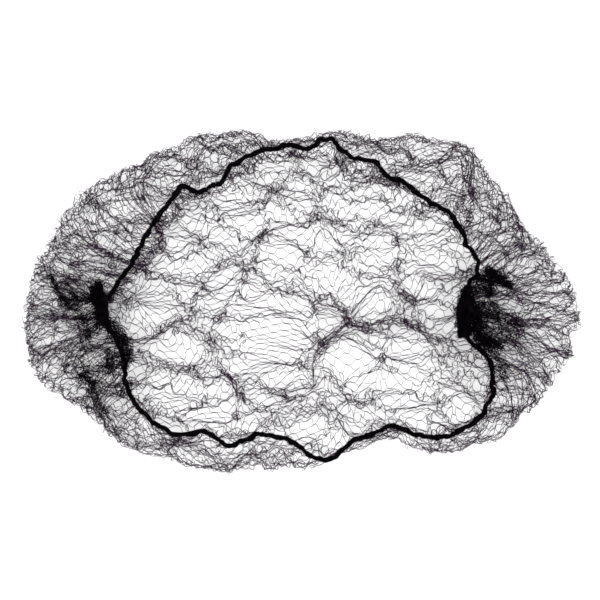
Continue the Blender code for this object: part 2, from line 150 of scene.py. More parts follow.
# Creases that the table side is drawn into: their route in the picture, and their pull, spread and lift
# in millimetres
Crease = namedtuple("Crease", "stops pull spread lift")
TABLE_CREASES = [Crease(*row) for row in [
    (((196, 203), (202, 197)), 1.6, 6, 2.0),
    (((180, 231), (190, 229), (200, 242)), 1.8, 6, 2.0),
    (((200, 242), (212, 236), (222, 249), (229, 252)), 1.6, 6, 2.0),
    (((264, 208), (266, 222), (264, 240)), 3.2, 7, 2.5),
    (((268, 230), (278, 223), (286, 238), (293, 245)), 1.6, 5, 2.0),
    (((232, 221), (243, 232)), 1.5, 6, 1.5),
    (((252, 239), (246, 246), (243, 262)), 1.6, 6, 1.5),
    (((191, 298), (200, 282), (216, 264), (230, 262), (243, 264)), 3.0, 7, 2.5),
    (((243, 264), (256, 273), (268, 281)), 1.7, 6, 2.0),
    (((266, 288), (276, 289), (287, 296)), 2.0, 6, 2.0),
    (((291, 172), (280, 181), (270, 191)), 1.6, 7, 2.0),
    (((129, 299), (140, 282), (155, 276), (172, 284), (184, 294)), 1.4, 7, 3.0),
    (((178, 298), (189, 311), (197, 297)), 3.6, 8, 3.0),
    (((178, 321), (190, 317), (201, 318), (218, 319), (227, 313), (231, 302)), 2.0, 7, 2.5),
    (((191, 333), (199, 337), (204, 350), (198, 364)), 3.0, 8, 3.0),
    (((201, 319), (194, 332)), 1.2, 6, 1.5),
    (((207, 332), (217, 350), (226, 368)), 1.8, 7, 2.5),
    (((188, 369), (170, 367), (152, 361), (142, 352)), 2.2, 8, 2.5),
    (((224, 370), (229, 374)), 3.6, 11, 3.5),
    (((229, 376), (236, 386), (242, 396), (256, 410), (275, 416)), 2.2, 7, 3.0),
    (((227, 376), (216, 378), (203, 387)), 1.3, 6, 1.5),
    (((243, 389), (262, 391), (282, 391), (296, 373), (304, 362)), 1.7, 6, 2.5),
    (((286, 401), (304, 399), (315, 391)), 1.8, 6, 1.5),
    (((330, 366), (344, 358), (360, 352), (374, 354)), 1.6, 6, 1.5),
    (((318, 226), (330, 222), (346, 216)), 2.0, 7, 2.0),
    (((356, 262), (368, 278), (384, 284)), 2.0, 7, 2.0),
    (((300, 284), (320, 282), (336, 288)), 1.8, 7, 1.5),
    (((276, 262), (288, 268)), 1.6, 6, 1.5),
    (((150, 398), (163, 414), (182, 425)), 1.5, 6, 2.0),
    (((246, 330), (246, 344), (248, 358)), 1.3, 6, 1.5),
    (((232, 296), (226, 308)), 1.4, 6, 1.5),
    (((240, 402), (235, 416)), 1.2, 5, 1.5),
    (((193, 384), (197, 396)), 1.0, 5, 1.0),
    (((313, 194), (324, 204), (337, 213)), 2.8, 8, 2.5),
    (((300, 207), (308, 214), (317, 203)), 1.6, 5, 2.0),
    (((307, 221), (320, 216)), 1.3, 6, 1.5),
    (((327, 220), (334, 230), (341, 240), (340, 258)), 2.0, 7, 2.0),
    (((341, 240), (348, 246), (354, 240), (362, 241), (373, 251), (380, 262), (383, 271)), 1.8, 6, 2.5),
    (((379, 219), (388, 221)), 1.7, 7, 2.0),
    (((382, 227), (392, 229), (398, 236), (403, 229), (412, 227), (417, 237)), 2.0, 7, 3.0),
    (((399, 238), (399, 262)), 1.3, 7, 1.5),
    (((385, 269), (400, 275), (411, 284), (424, 289), (445, 298)), 2.6, 8, 3.0),
    (((409, 287), (416, 293)), 1.6, 6, 1.5),
    (((308, 258), (312, 262)), 2.0, 10, 2.0),
    (((368, 194), (359, 206)), 1.2, 6, 1.5),
    (((296, 366), (310, 358), (322, 354), (335, 344), (347, 333), (362, 327)), 3.8, 8, 4.0),
    (((345, 331), (362, 328), (384, 326), (398, 320)), 4.2, 9, 4.0),
    (((316, 350), (332, 338), (346, 328), (372, 326), (400, 323), (438, 338)), 5.4, 15, 0.0),
    (((322, 312), (336, 308), (356, 314)), 3.6, 12, 0.0),
    (((300, 405), (312, 412), (330, 410)), 1.8, 6, 2.0),
    (((392, 362), (412, 362), (434, 356)), 1.8, 7, 2.0),
    (((330, 372), (345, 375)), 1.6, 6, 2.0),
    (((350, 398), (362, 410), (372, 424)), 2.4, 8, 2.0),
    (((232, 316), (240, 330), (236, 346)), 1.6, 7, 1.5),
    (((404, 252), (420, 262), (436, 262)), 1.8, 7, 2.0),
    (((306, 230), (312, 240), (322, 246)), 1.6, 6, 1.5),
    (((404, 392), (420, 384), (436, 372)), 1.6, 6, 2.0),
    (((172, 276), (190, 282), (206, 290)), 1.8, 7, 2.0),
    (((396, 288), (408, 300), (420, 304)), 2.0, 7, 2.0),
    (((312, 314), (314, 305), (322, 300), (334, 300), (343, 307), (347, 318)), 4.2, 7, 4.0),
    (((313, 308), (315, 322), (318, 336)), 1.6, 5, 2.5),
    (((398, 320), (406, 322), (407, 314)), 2.2, 7, 3.0),
    (((408, 326), (418, 337), (429, 345)), 2.2, 7, 3.0),
    (((418, 326), (434, 335), (449, 343), (453, 355), (466, 354), (482, 358)), 2.0, 7, 3.0),
    (((386, 352), (375, 363), (363, 374)), 2.8, 6, 3.0),
    (((382, 355), (390, 345), (391, 335)), 1.6, 6, 2.0),
    (((380, 353), (390, 364), (397, 376)), 2.6, 6, 2.5),
    (((320, 396), (323, 399)), 2.6, 10, 3.0),
    (((323, 397), (336, 390), (347, 385), (352, 394)), 2.2, 7, 2.5),
    (((431, 384), (436, 402)), 1.5, 7, 1.5),
    (((446, 370), (464, 388), (481, 406)), 1.8, 9, 2.0),
    (((379, 403), (386, 414), (401, 421)), 1.8, 6, 2.5),
    (((352, 405), (356, 420)), 1.8, 6, 1.5),
    (((276, 192), (292, 196), (308, 184)), 1.8, 6, 2.0),
    (((420, 268), (445, 276), (470, 270)), 1.2, 8, 1.5),
    (((425, 296), (448, 290), (463, 284)), 1.4, 8, 2.0),
    (((330, 425), (325, 440)), 1.0, 6, 1.5),
    (((206, 180), (210, 195)), 1.0, 6, 1.5),
    (((165, 300), (166, 325), (150, 340)), 1.4, 7, 2.0)]]

# Creases of the turned-over side, outside the elastic
TOP_CREASES = [Crease(*row) for row in [
    (((99, 295), (82, 298), (63, 299), (54, 287), (50, 273)), 1.4, 6, 1.0),
    (((100, 316), (86, 317), (60, 319)), 1.4, 6, 1.0),
    (((100, 330), (70, 342), (46, 352)), 1.2, 7, 1.0),
    (((96, 388), (98, 404), (104, 420)), 2.0, 7, 1.0),
    (((50, 250), (70, 246), (95, 248)), 1.4, 7, 1.0),
    (((160, 226), (160, 243), (154, 262), (145, 272)), 2.2, 6, 0.0),
    (((337, 152), (343, 166), (350, 177), (361, 183), (380, 181), (394, 176)), 2.2, 6, 0.0),
    (((474, 288), (487, 272), (511, 288)), 1.4, 6, 1.5),
    (((470, 312), (500, 314), (540, 326)), 1.4, 6, 1.0),
    (((500, 338), (530, 342), (560, 352)), 1.2, 6, 1.0),
    (((500, 366), (530, 366), (545, 384)), 1.4, 6, 1.0),
    (((510, 232), (530, 250), (548, 272)), 1.4, 6, 1.0)]]

# Flat open patches of the table side: their middle in the picture, reach in millimetres and swell
Patch = namedtuple("Patch", "column row reach swell")
OPEN_PATCHES = [Patch(*row) for row in [
    (272, 340, 13, 0.28), (278, 268, 9, 0.12), (166, 292, 8, 0.25), (206, 253, 6, 0.25),
    (172, 402, 9, 0.20), (363, 203, 10, 0.20), (325, 275, 11, 0.15), (425, 240, 9, 0.20),
    (432, 385, 12, 0.08), (350, 352, 6, 0.10), (250, 205, 6, 0.10)]]

# Bundles of drawn-up thread: their route in the picture, width in millimetres, count of strands, and lowest
# and highest height over the foot of the gather's solid in millimetres
Bundle = namedtuple("Bundle", "stops width count low high")
LEFT_BUNDLES = [Bundle(*row) for row in [
    (((99, 283), (99, 291), (100, 302), (102, 314), (106, 324)), 3.8, 560, 0.0, 4.2),
    (((93, 287), (95, 295), (99, 304)), 2.8, 90, -0.4, 2.2),
    (((102, 312), (106, 323), (113, 333)), 2.0, 130, -0.6, 2.4),
    (((109, 329), (118, 342), (124, 354), (124, 368)), 5.4, 84, -1.6, 1.4),
    (((114, 322), (124, 334), (129, 348), (128, 366)), 4.2, 84, -2.6, 0.0),
    (((106, 350), (111, 366), (115, 380), (124, 396)), 7.0, 96, -2.8, -0.6),
    (((98, 294), (90, 300), (80, 297), (70, 301), (60, 298)), 3.6, 90, -2.8, 0.0),
    (((104, 322), (92, 332), (84, 347), (82, 364), (88, 384)), 5.0, 56, -3.4, -1.8),
    (((120, 362), (108, 367), (94, 369), (80, 376)), 5.0, 50, -3.4, -1.8),
    (((98, 306), (82, 310), (66, 306)), 5.0, 46, -3.4, -1.6),
    (((64, 300), (56, 290), (54, 282), (50, 273), (46, 276), (43, 280)), 2.0, 46, -3.4, -1.2),
    (((78, 298), (69, 290), (66, 280)), 2.2, 22, -3.2, -1.0),
    (((99, 313), (88, 317), (76, 318)), 2.4, 40, -2.6, 0.0),
    (((82, 319), (88, 328), (90, 342)), 2.4, 22, -3.0, -0.8),
    (((80, 374), (88, 378), (93, 384)), 2.2, 18, -3.6, -2.0),
    (((94, 382), (98, 398), (104, 414)), 6.0, 48, -3.6, -2.0)]]
RIGHT_BUNDLES = [Bundle(*row) for row in [
    (((468, 287), (465, 298), (464, 311), (465, 324), (467, 335)), 4.2, 640, -0.4, 4.6),
    (((462, 299), (460, 308), (460, 322), (460, 337)), 2.6, 300, -0.4, 3.0),
    (((471, 300), (474, 312), (476, 326), (483, 342)), 5.0, 190, -1.2, 3.0),
    (((477, 302), (482, 316), (488, 332), (493, 347)), 7.0, 110, -2.4, 1.0),
    (((484, 300), (496, 308), (504, 320), (510, 334)), 6.0, 60, -2.8, -0.6),
    (((474, 338), (484, 342), (492, 344), (502, 348)), 5.0, 130, -2.0, 1.4),
    (((471, 292), (473, 281), (480, 276), (488, 279), (492, 288), (488, 296)), 3.8, 120, -2.0, 0.4),
    (((474, 295), (482, 289), (491, 293)), 3.0, 50, -1.8, 0.4),
    (((486, 269), (493, 273), (500, 280), (511, 287)), 3.8, 170, -2.4, 0.6),
    (((484, 348), (493, 352), (500, 362), (505, 378)), 3.6, 56, -2.8, -0.4),
    (((478, 306), (490, 308), (508, 314), (524, 328)), 4.0, 30, -3.0, -0.4),
    (((478, 322), (494, 328), (516, 336)), 6.0, 50, -3.0, -0.4),
    (((486, 356), (492, 368), (494, 384)), 2.4, 30, -2.4, -0.4)]]

# The net's threads lie in these pieces: the bottom, then the turned side by quarters
NET_PIECES = ("net_bottom_left", "net_bottom_right", "net_turned_far_left", "net_turned_far_right",
              "net_turned_near_left", "net_turned_near_right")
LEFT_GATHER_ANGLE = 183.0
RIGHT_GATHER_ANGLE = 357.0
UP = np.array((0.0, 0.0, 1.0))

# How a crease draws the net: the most of its way that a point goes, the strength of the pull, the share of
# the spread and the longest way over which the pull fades past the ends, the ridge's width as a share of
# the spread, the share of the way from which a point is held, the spread in millimetres from which a crease
# holds none, and the pull that ruffles fully
MOST_DRAWN = 0.60
PULL_STRENGTH = 1.5
END_FADE = 0.8
LONGEST_FADE = 5 * MM
RIDGE_SHARE = 0.40
HELD_SHARE = 0.40
BROAD_SPREAD = 10
FULL_RUFFLE_PULL = 2.4

# How the knots slip: how free a held knot still is, the share of its way home that a knot goes back in each
# round, and for a flat thread, as shares of its length: where it begins to spring, over how much more that
# grows full, and where it rests
HELD_FREEDOM = 0.02
HOME_PULL = 0.01
SPRING_START = 0.40
SPRING_RISE = 0.25
SPRING_REST = 0.93

# Points along the elastic, steps in a turn of its covering thread, and points along a strand of a bunch
ELASTIC_STEPS = 1100
COVER_STEPS = 9
STRAND_STEPS = 9


def on_table(column, row):
    """Where a place of the picture lies on the table, in metres."""
    return (np.asarray(column) - MIDDLE_COLUMN) * PIXEL, (MIDDLE_ROW - np.asarray(row)) * PIXEL


def smoothed_loop(values, width):
    """A closed run of values with its corners rounded over a width in steps."""
    steps = np.arange(-int(3 * width), int(3 * width) + 1)
    weights = np.exp(-0.5 * (steps / width) ** 2)
    weights /= weights.sum()
    return sum(weight * np.roll(values, step) for step, weight in zip(steps, weights))


def elastic_route(count):
    """Evenly spaced places along the elastic."""
    x, y = on_table([stop.column for stop in ELASTIC_ROUTE], [stop.row for stop in ELASTIC_ROUTE])
    for _ in range(2):
        x, y = np.append(x, x[0]), np.append(y, y[0])
        along = np.append(0, np.cumsum(np.hypot(np.diff(x), np.diff(y))))
        places = np.linspace(0, along[-1], count, endpoint=False)
        x = smoothed_loop(np.interp(places, along, x), count / 700)
        y = smoothed_loop(np.interp(places, along, y), count / 700)
    return x, y


def elastic_height(angle):
    """How high the middle of the solid elastic lies in each direction, in metres."""
    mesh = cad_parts["elastic_loop"].data
    places = np.empty(len(mesh.vertices) * 3)
    mesh.vertices.foreach_get("co", places)
    x, y, z = places.reshape(-1, 3).T
    bearing = np.degrees(np.arctan2(y, x)) % 360
    grid = np.arange(0.0, 360.0, 2.0)
    away = np.abs((bearing[None, :] - grid[:, None] + 180) % 360 - 180)
    near = np.exp(-(away / 2.0) ** 2)
    return np.interp(angle, grid, (near * z).sum(1) / near.sum(1), period=360)


def polar_curve(rows, width=3):
    """The reaches of a table in metres, every half degree."""
    grid = np.arange(0.0, 360.0, 0.5)
    reach = np.interp(grid, [row.angle for row in rows], [row.reach * MM for row in rows], period=360)
    return grid, smoothed_loop(reach, width)


def ripple(a, b, wavelength, seed, level=False, waves=14):
    """A smooth chance field of unit strength over the flat net. Level ripples run along its rows."""
    chance = np.random.default_rng(seed)
    total = np.zeros_like(a)
    for _ in range(waves):
        heading = chance.normal(math.pi / 2, 0.4) if level else chance.uniform(0, 2 * math.pi)
        phase = chance.uniform(0, 2 * math.pi)
        pace = 2 * math.pi / wavelength * chance.uniform(0.7, 1.4)
        total += np.sin(pace * (a * math.cos(heading) + b * math.sin(heading)) + phase)
    return total * math.sqrt(2 / waves)


def turned(distance, rounding):
    """How far a sheet has come back from a rounded fold, at a distance past it."""
    safe = np.maximum(rounding, 1e-6)
    return np.where(distance < safe, distance ** 2 / (2 * safe), distance - safe / 2)


class NetPath:
    """The net's way in every direction: from the middle, round its edge and its folds, to the elastic."""

    def __init__(self, net):
        self.net = net
        self.grid, edge = polar_curve(OUTER_EDGE, 2.2)
        x, y = elastic_route(1600)
        bearing = np.degrees(np.arctan2(y, x)) % 360
        order = np.argsort(bearing)
        elastic = np.interp(self.grid, bearing[order], np.hypot(x, y)[order], period=360)
        elastic = smoothed_loop(elastic, 2)
        ring = np.maximum(edge - elastic, 1.0 * MM)
        folded = np.interp(self.grid, [row.angle for row in BACK_FOLDS],
                           [row.share for row in BACK_FOLDS], period=360)
        middle = FOLD_MIDDLE + FOLD_SWAY * self.wander(1, (3, 5, 8, 13, 17))
        half = FOLD_HALF * folded * (1 + FOLD_VARIES * self.wander(40, (4, 7, 11, 15, 21)))
        inner = elastic + ring * np.clip(middle - half, *INNER_LIMITS)
        outer = elastic + ring * np.clip(middle + half, *OUTER_LIMITS)
        outer = np.maximum(outer, inner + 0.5 * MM)
        droop = elastic - polar_curve(INNER_DROOP)[1]
        self.turns = [np.zeros_like(ring), edge, inner, outer, droop, elastic]
        gaps = [np.abs(after - before) for before, after in zip(self.turns, self.turns[1:])]
        self.rounds = [np.zeros_like(ring)]
        for number, most in enumerate((net.edge_round, net.fold_round, net.fold_round, net.fold_round)):
            self.rounds.append(np.minimum(most, np.minimum(gaps[number], gaps[number + 1])))
        self.rounds.append(np.zeros_like(ring))
        self.stops = [np.zeros_like(ring)]
        for number, gap in enumerate(gaps):
            spare = (self.rounds[number] + self.rounds[number + 1]) / 2
            self.stops.append(self.stops[-1] + gap + spare)
        self.flat_end = self.stops[1] + (self.stops[5] - self.stops[1]) * net.turned_share
        self.heights = elastic_height(self.grid)

    def wander(self, seed, counts):
        """A chance wave round the net, of unit strength."""
        turn = np.radians(self.grid)
        starts = [np.random.default_rng(seed + count).uniform(0, 6.3) for count in counts]
        waves = [np.sin(turn * count + start) for count, start in zip(counts, starts)]
        return sum(waves) / math.sqrt(len(counts))

    def at(self, values, angle):
        """Values of the grid of directions, read at other angles."""
        return np.interp(angle, self.grid, values, period=360)

    def drawn_angle(self, angle, pulled):
        """The direction in which a point ends, as the gathers draw the net's rim together."""
        middle_part = (angle >= LEFT_GATHER_ANGLE) & (angle < RIGHT_GATHER_ANGLE)
        start = np.where(middle_part, LEFT_GATHER_ANGLE, RIGHT_GATHER_ANGLE - 360)
        start = np.where(angle >= RIGHT_GATHER_ANGLE, RIGHT_GATHER_ANGLE, start)
        span = RIGHT_GATHER_ANGLE - LEFT_GATHER_ANGLE
        span = np.where(start == LEFT_GATHER_ANGLE, span, 360 - span)
        share = (angle - start) / span
        squeeze = self.net.gather_squeeze * np.sin(2 * math.pi * share) / (2 * math.pi)
        return start + span * (share - squeeze * pulled)

    def place(self, a, b):
        """Where the flat net's points lie, their share of the table side and their freedom from the rim."""
        a, b = a / self.net.slack_along, b / self.net.slack_across
        angle = np.degrees(np.arctan2(b, a)) % 360
        way = np.hypot(a, b)
        stops = [self.at(stop, angle) for stop in self.stops]
        way = np.minimum(way, stops[1]) + np.maximum(way - stops[1], 0) / self.net.turned_share
        share = np.clip((way - stops[1]) / (stops[5] - stops[1]), 0, 1)
        turn = self.drawn_angle(angle, share ** 0.8)
        turns = [self.at(value, turn) for value in self.turns]
        rounds = [self.at(value, turn) for value in self.rounds]
        reach = np.where(way <= stops[1], turns[1] - turned(stops[1] - way, rounds[1]), 0)
        for number in (1, 2, 3, 4):
            sign = -1 if number % 2 else 1
            start = (stops[number - 1] + stops[number]) / 2 if number > 1 else 0 * way
            end = (stops[number] + stops[number + 1]) / 2
            here = (way > start) & (way <= end)
            led = turns[number] + sign * turned(np.abs(way - stops[number]), rounds[number])
            reach = np.where(here, led, reach)
        last = way > (stops[4] + stops[5]) / 2
        reach = np.where(last, turns[5] - np.maximum(stops[5] - way, 0), reach)
        fold = self.net.fold_height
        rise = (TABLE_LIFT, *(share * fold for share in FOLD_RISES), self.at(self.heights, turn))
        places = (stops[1] - rounds[1], stops[1], stops[1] + rounds[1], stops[2] + 0.5 * MM,
                  stops[3] + MM, stops[4] + MM, stops[5] + 2 * MM)
        height = np.full_like(way, rise[0])
        for number in range(6):
            part = (way - places[number]) / np.maximum(places[number + 1] - places[number], 1e-6)
            height += (rise[number + 1] - rise[number]) * np.clip(part, 0, 1)
        turn = np.radians(turn)
        reach = np.maximum(reach, 0)
        points = np.stack([reach * np.cos(turn), reach * np.sin(turn), height], 1)
        table_side = 1 - np.clip((way - stops[1] + SIDE_BLEND) / SIDE_BLEND, 0, 1)
        rim = np.clip((1 - way / stops[5]) / RIM_SHARE, 0, 1)
        return points, table_side, rim


def knot_grid(path, net):
    """The flat net's knots in rows, and a table of their numbers by column and row."""
    most = path.flat_end.max()
    wide = int(most * net.slack_along / (net.mesh_length / 2)) + 3
    high = int(most * net.slack_across / (net.mesh_height / 2)) + 3
    column, row = np.meshgrid(np.arange(-wide, wide + 1), np.arange(-high, high + 1), indexing="ij")
    a, b = column * net.mesh_length / 2, row * net.mesh_height / 2
    flat_a, flat_b = a / net.slack_along, b / net.slack_across
    angle = np.degrees(np.arctan2(flat_b, flat_a)) % 360
    within = np.hypot(flat_a, flat_b) < path.at(path.flat_end, angle) + 0.5 * net.mesh_height
    within &= (column + row) % 2 == 0
    number = np.full(column.shape, -1)
    number[within] = np.arange(within.sum())
    return a[within], b[within], number


def open_patches(points, weight):
    """Spreads points out over the flat patches. Returns how calm each point lies."""
    calm = np.zeros(len(points))
    for patch in OPEN_PATCHES:
        x, y = on_table(patch.column, patch.row)
        from_x, from_y = points[:, 0] - x, points[:, 1] - y
        near = weight * np.exp(-(np.hypot(from_x, from_y) / (patch.reach * MM)) ** 2)
        points[:, 0] += patch.swell * near * from_x
        points[:, 1] += patch.swell * near * from_y
        calm = np.maximum(calm, near)
    return calm


def draw_to_crease(points, wander, crease, weight):
    """Draws points towards a crease. Returns which it holds, and how much it lifts and ruffles each."""
    closest = np.full(len(points), FAR)
    across, up, past = np.zeros(len(points)), np.zeros(len(points)), np.zeros(len(points))
    lines = list(zip(crease.stops, crease.stops[1:]))
    for number, (start, end) in enumerate(lines):
        (x0, x1), (y0, y1) = on_table((start[0], end[0]), (start[1], end[1]))
        dx, dy = x1 - x0, y1 - y0
        from_x, from_y = points[:, 0] + wander[:, 0] - x0, points[:, 1] + wander[:, 1] - y0
        share = (from_x * dx + from_y * dy) / (dx * dx + dy * dy)
        share = np.clip(share, -FAR if number == 0 else 0, FAR if number == len(lines) - 1 else 1)
        to_x, to_y = share * dx - from_x, share * dy - from_y
        beyond = np.maximum(np.maximum(-share, share - 1), 0) * math.hypot(dx, dy)
        far = np.hypot(np.hypot(to_x, to_y), beyond)
        closer = far < closest
        closest = np.where(closer, far, closest)
        across, up = np.where(closer, to_x, across), np.where(closer, to_y, up)
        past = np.where(closer, beyond, past)
    nearest = np.maximum(np.hypot(across, up), TINY)
    spread = crease.spread * MM
    weight = weight * np.exp(-(past / min(END_FADE * spread, LONGEST_FADE)) ** 2)
    pull = crease.pull * PULL_STRENGTH * MM * np.exp(-nearest / spread)
    move = np.minimum(nearest * MOST_DRAWN, pull) * weight
    points[:, 0] += across / nearest * move
    points[:, 1] += up / nearest * move
    near = weight * np.exp(-((nearest - move) / (RIDGE_SHARE * spread)) ** 2)
    caught = (move >= nearest * HELD_SHARE) & (crease.spread < BROAD_SPREAD)
    return caught, crease.lift * MM * near, near * min(crease.pull / FULL_RUFFLE_PULL, 1)


def crumpled_ends(path, net, a, b):
    """The left or right ends of the knots, rippled and drawn into the creases."""
    points, table_side, rim = path.place(a, b)
    top_side = 1 - table_side
    lively = 1 - PATCH_CALM * open_patches(points, table_side)
    table_strength = net.table_ripple * table_side * rim * lively
    top_strength = net.top_ripple * top_side * rim
    for axis in (0, 1):
        for ripples, strength in ((TABLE_RIPPLES, table_strength), (TOP_RIPPLES, top_strength)):
            for own in ripples:
                points[:, axis] += own.share * strength * ripple(a, b, own.wavelength * MM, own.seed + axis)
    bunching = net.row_bunching * rim * lively * (1 - 0.5 * top_side)
    points[:, 1] += bunching * ripple(a, b, 11 * MM, 50, level=True)
    bearing = np.degrees(np.arctan2(points[:, 1], points[:, 0])) % 360
    end_share = top_side * rim * np.clip(np.abs(points[:, 0]) / (70 * MM) - 0.7, 0, 0.5)
    points[:, 1] += end_share * net.end_wave * ripple(a, b, 8 * MM, 90)
    points[:, 0] += 0.5 * end_share * net.end_wave * ripple(a, b, 10 * MM, 91)
    reach = np.hypot(points[:, 0], points[:, 1])
    from_edge = reach - path.at(path.turns[1], bearing)
    past = np.maximum(from_edge + 0.6 * MM, 0)
    fringe = 1.15 * MM * np.exp(-(from_edge / (3 * MM)) ** 2)
    pushed = fringe * ripple(a, b, 3.6 * MM, 60) - 0.8 * past
    points[:, :2] *= (1 + pushed / np.maximum(reach, MM))[:, None]
    points[:, 2] += table_side * 0.45 * MM * (1 + ripple(a, b, 22 * MM, 40))
    points[:, 2] += top_side * rim * 1.1 * MM * ripple(a, b, 14 * MM, 41)
    wander = np.stack([ripple(a, b, 15 * MM, 80), ripple(a, b, 15 * MM, 81)], 1) * 0.9 * MM
    held = np.zeros(len(a), bool)
    lift, ruffle = np.zeros(len(a)), np.zeros(len(a))
    for creases, weight in ((TABLE_CREASES, table_side), (TOP_CREASES, top_side)):
        for crease in creases:
            caught, raised, near = draw_to_crease(points, wander, crease, weight)
            held |= caught
            lift = np.maximum(lift, raised)
            ruffle = np.maximum(ruffle, near)
    points[:, 2] += lift
    for axis in (0, 1):
        points[:, axis] += net.ruffle * ruffle * ripple(a, b, 5.0 * MM, 70 + axis)
    return points, held, table_side


def lay_knots(path, net):
    """The laid net: each knot's left and right end, its side, and the knots' numbers by column and row."""
    a, b, number = knot_grid(path, net)
    half = net.knot_length / 2
    left, held_left, table_side = crumpled_ends(path, net, a - half, b)
    right, held_right, _ = crumpled_ends(path, net, a + half, b)
    rise = np.full(len(a), -1)
    fall = np.full(len(a), -1)
    column, row = np.nonzero(number >= 0)
    rise[number[column, row]] = number[column + 1, row + 1]
    fall[number[column, row]] = number[column + 1, row - 1]
    pairs = [(np.flatnonzero(other >= 0), other[other >= 0]) for other in (rise, fall)]
    thread = thread_length(net)
    threads = np.zeros(len(a))
    for knot, other in pairs:
        threads[knot] += 1
        threads[other] += 1
    fixed = threads < 4
    free_left = np.where(fixed | held_left, HELD_FREEDOM, 1.0)[:, None]
    free_right = np.where(fixed | held_right, HELD_FREEDOM, 1.0)[:, None]
    home_left, home_right = left.copy(), right.copy()
    bearing = np.degrees(np.arctan2(left[:, 1], left[:, 0])) % 360
    inside = path.at(path.turns[5], bearing) - np.hypot(left[:, 0], left[:, 1])
    springiness = net.springiness * table_side * np.clip(inside / (6 * MM), 0, 1)
    for _ in range(net.slip_rounds):
        for knot, other in pairs:
            gap = left[other] - right[knot]
            size = np.linalg.norm(gap, axis=1)[:, None]
            over = np.maximum(size - thread, 0)
            open_share = np.clip((size / thread - SPRING_START) / SPRING_RISE, 0, 1)
            spring = springiness[knot, None] * np.maximum(SPRING_REST * thread - size, 0) * open_share
            freedom = free_right[knot] + free_left[other]
            shift = gap * (over - spring) / np.maximum(size, TINY) / freedom
            right[knot] += shift * free_right[knot]
            left[other] -= shift * free_left[other]
        gap = right - left
        size = np.linalg.norm(gap, axis=1)[:, None]
        shift = gap * (size - net.knot_length) / np.maximum(size, TINY) / (free_left + free_right)
        left += shift * free_left
        right -= shift * free_right
        for ends, home in ((left, home_left), (right, home_right)):
            ends += (home - ends) * HOME_PULL
            np.maximum(ends[:, 2], FLOOR_CLEARANCE, out=ends[:, 2])
    return left, right, table_side, number


def thread_length(net):
    """The length of a thread from knot to knot."""
    flat = math.hypot(net.mesh_length / 2 - net.knot_length, net.mesh_height / 2)
    return flat * net.thread_spare


def unit(vectors):
    """Vectors brought to a length of one."""
    return vectors / np.maximum(np.linalg.norm(vectors, axis=-1), 1e-12)[..., None]


def slack_threads(start, end, start_heading, end_heading, length, crimp, chance, steps=4):
    """The inner points of slack threads that leave and reach their knots along the knots."""
    gap = end - start
    size = np.linalg.norm(gap, axis=1)
    slack = np.sqrt(np.maximum(length ** 2 - size ** 2, 0))
    lead = (0.95 * size + 0.55 * slack)[:, None, None]
    t = np.linspace(0, 1, steps + 1)[1:-1][None, :, None]
    curve = (2 * t ** 3 - 3 * t ** 2 + 1) * start[:, None] + (3 * t ** 2 - 2 * t ** 3) * end[:, None]
    curve += (t ** 3 - 2 * t ** 2 + t) * lead * start_heading[:, None]
    curve += (t ** 3 - t ** 2) * lead * end_heading[:, None]
    side = unit(np.cross(gap, UP))
    bulge = side * (chance.normal(0, 0.24, len(gap)) * slack)[:, None]
    bulge += UP * (chance.normal(0, 0.20, len(gap)) * slack)[:, None]
    curve += np.sin(math.pi * t) * bulge[:, None]
    curve[:, :, :2] += chance.normal(0, 1, (*curve.shape[:2], 2)) * crimp[:, None, None]
    curve[:, :, 2] = np.maximum(curve[:, :, 2], FLOOR_CLEARANCE)
    return curve


def thread_rows(path, net):
    """Every row's thread as a run of points, cut where it passes from one piece of the net to the next."""
    left, right, table_side, number = lay_knots(path, net)
    heading = unit(right - left)
    aside = unit(np.cross(UP, heading)) * net.thread_thickness * 0.45
    chance = np.random.default_rng(9)
    crimp = net.crimp * (2 - table_side)
    turned_piece = np.where(left[:, 1] > 0, 2, 4)
    piece = np.where(left[:, 0] < 0, 0, 1) + np.where(table_side > 0.5, 0, turned_piece)
    columns = np.arange(number.shape[0])
    runs = [[] for _ in NET_PIECES]
    for row in range(number.shape[1] - 1):
        low = (columns + row + number.shape[0] // 2 + number.shape[1] // 2) % 2 == 0
        knots = np.where(low, number[:, row], number[:, row + 1])
        whole = np.split(np.arange(len(knots)), np.flatnonzero(np.diff(knots >= 0)) + 1)
        for part in whole:
            if len(part) < 2 or knots[part[0]] < 0:
                continue
            chain = knots[part]
            offset = aside[chain] * np.where(low[part], 1, -1)[:, None]
            enter, leave = left[chain] + offset, right[chain] + offset
            threads = slack_threads(leave[:-1], enter[1:], heading[chain[:-1]], heading[chain[1:]],
                                    thread_length(net), crimp[chain[:-1]], chance)
            steps = np.concatenate([enter[:-1, None], leave[:-1, None], threads], 1)
            bounds = np.flatnonzero(np.diff(piece[chain[:-1]])) + 1
            for group in np.split(np.arange(len(chain) - 1), bounds):
                run = steps[group].reshape(-1, 3)
                after = group[-1] + 1
                inner = after < len(chain) - 1
                tail = enter[after:after + 1] if inner else np.stack([enter[-1], leave[-1]])
                runs[piece[chain[group[0]]]].append(np.concatenate([run, tail]))
    return runs


